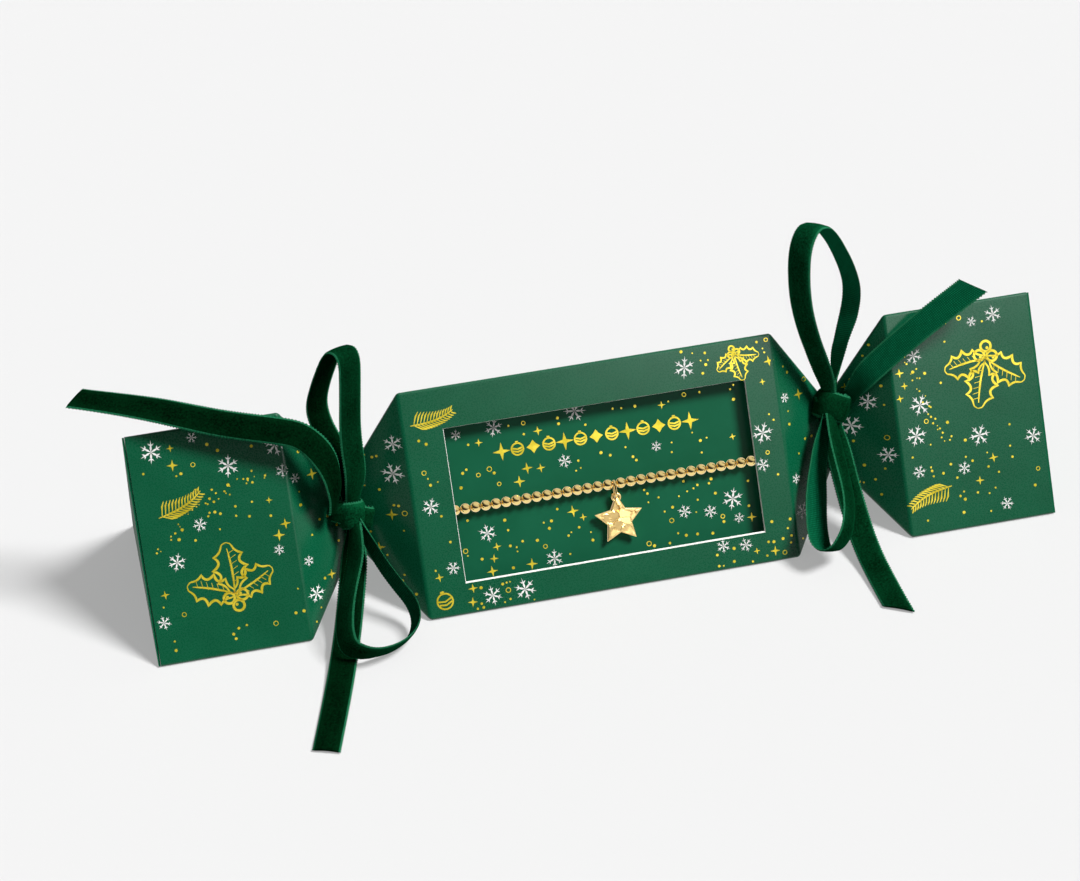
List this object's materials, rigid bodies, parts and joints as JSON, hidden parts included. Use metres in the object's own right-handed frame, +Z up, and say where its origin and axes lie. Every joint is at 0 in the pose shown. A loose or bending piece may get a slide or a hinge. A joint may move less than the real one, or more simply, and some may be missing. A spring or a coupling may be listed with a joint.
{
  "type": "christmas cracker gift box",
  "caption": "Cracker-shaped card gift carton with ribbon-tied waists and a window onto a beaded bracelet with a star charm",
  "frame": {"origin": "on the floor under the middle of the carton's base", "axes": "+X along the carton towards the right end, +Y to the back, +Z up; the window's face looks along -Y and up"},
  "size_m": [0.2816, 0.1162, 0.0915],
  "materials": {
    "printed_card": "matt coated carton board printed deep green",
    "insert_board": "matt green printed board",
    "velvet_ribbon": "dark green velvet with a picot edge and a woven back",
    "gold_plate": "polished warm gold plating",
    "clear_elastic": "clear stretch elastic"
  },
  "bodies": {
    "carton": {"middle_front_panel": "printed_card", "middle_back_panel": "printed_card", "middle_base_panel": "printed_card", "middle_glue_flap": "printed_card", "left_inner_taper_front": "printed_card", "left_inner_taper_back": "printed_card", "left_inner_taper_base": "printed_card", "left_outer_taper_front": "printed_card", "left_outer_taper_back": "printed_card", "left_outer_taper_base": "printed_card", "left_end_front_panel": "printed_card", "left_end_back_panel": "printed_card", "left_end_base_panel": "printed_card", "left_end_glue_flap": "printed_card", "right_inner_taper_front": "printed_card", "right_inner_taper_back": "printed_card", "right_inner_taper_base": "printed_card", "right_outer_taper_front": "printed_card", "right_outer_taper_back": "printed_card", "right_outer_taper_base": "printed_card", "right_end_front_panel": "printed_card", "right_end_back_panel": "printed_card", "right_end_base_panel": "printed_card", "right_end_glue_flap": "printed_card", "insert_card": "insert_board", "insert_base_return": "insert_board", "insert_back_return": "insert_board", "front_beads": "gold_plate", "back_beads": "gold_plate", "elastic_cord": "clear_elastic", "left_waist_wrap": "velvet_ribbon", "right_waist_wrap": "velvet_ribbon", "left_knot": "velvet_ribbon", "right_knot": "velvet_ribbon", "left_upper_loop": "velvet_ribbon", "left_lower_loop": "velvet_ribbon", "left_upper_tail": "velvet_ribbon", "left_lower_tail": "velvet_ribbon", "right_upper_loop": "velvet_ribbon", "right_lower_loop": "velvet_ribbon", "right_upper_tail": "velvet_ribbon", "right_lower_tail": "velvet_ribbon"},
    "left_flap": {"left_end_flap": "printed_card", "left_end_tuck_tabs": "printed_card"},
    "right_flap": {"right_end_flap": "printed_card", "right_end_tuck_tabs": "printed_card"},
    "charm_ring": {"jump_ring": "gold_plate"},
    "charm": {"star_charm": "gold_plate"}
  },
  "joints": [
    {"name": "left_flap_hinge", "type": "hinge", "parent": "carton", "child": "left_flap", "pos_m": [-0.1344, 0, 0.0003], "axis": [0, -1, 0], "range_deg": [0, 90]},
    {"name": "right_flap_hinge", "type": "hinge", "parent": "carton", "child": "right_flap", "pos_m": [0.1344, 0, 0.0003], "axis": [0, 1, 0], "range_deg": [0, 90]},
    {"name": "ring_lift", "type": "hinge", "parent": "carton", "child": "charm_ring", "pos_m": [0.0039, -0.01647, 0.02556], "axis": [-1, 0, 0], "range_deg": [0, 170]},
    {"name": "charm_sway", "type": "hinge", "parent": "charm_ring", "child": "charm", "pos_m": [0.0039, -0.01845, 0.02214], "axis": [0, -0.866, 0.5], "range_deg": [-35, 35]}
  ]
}
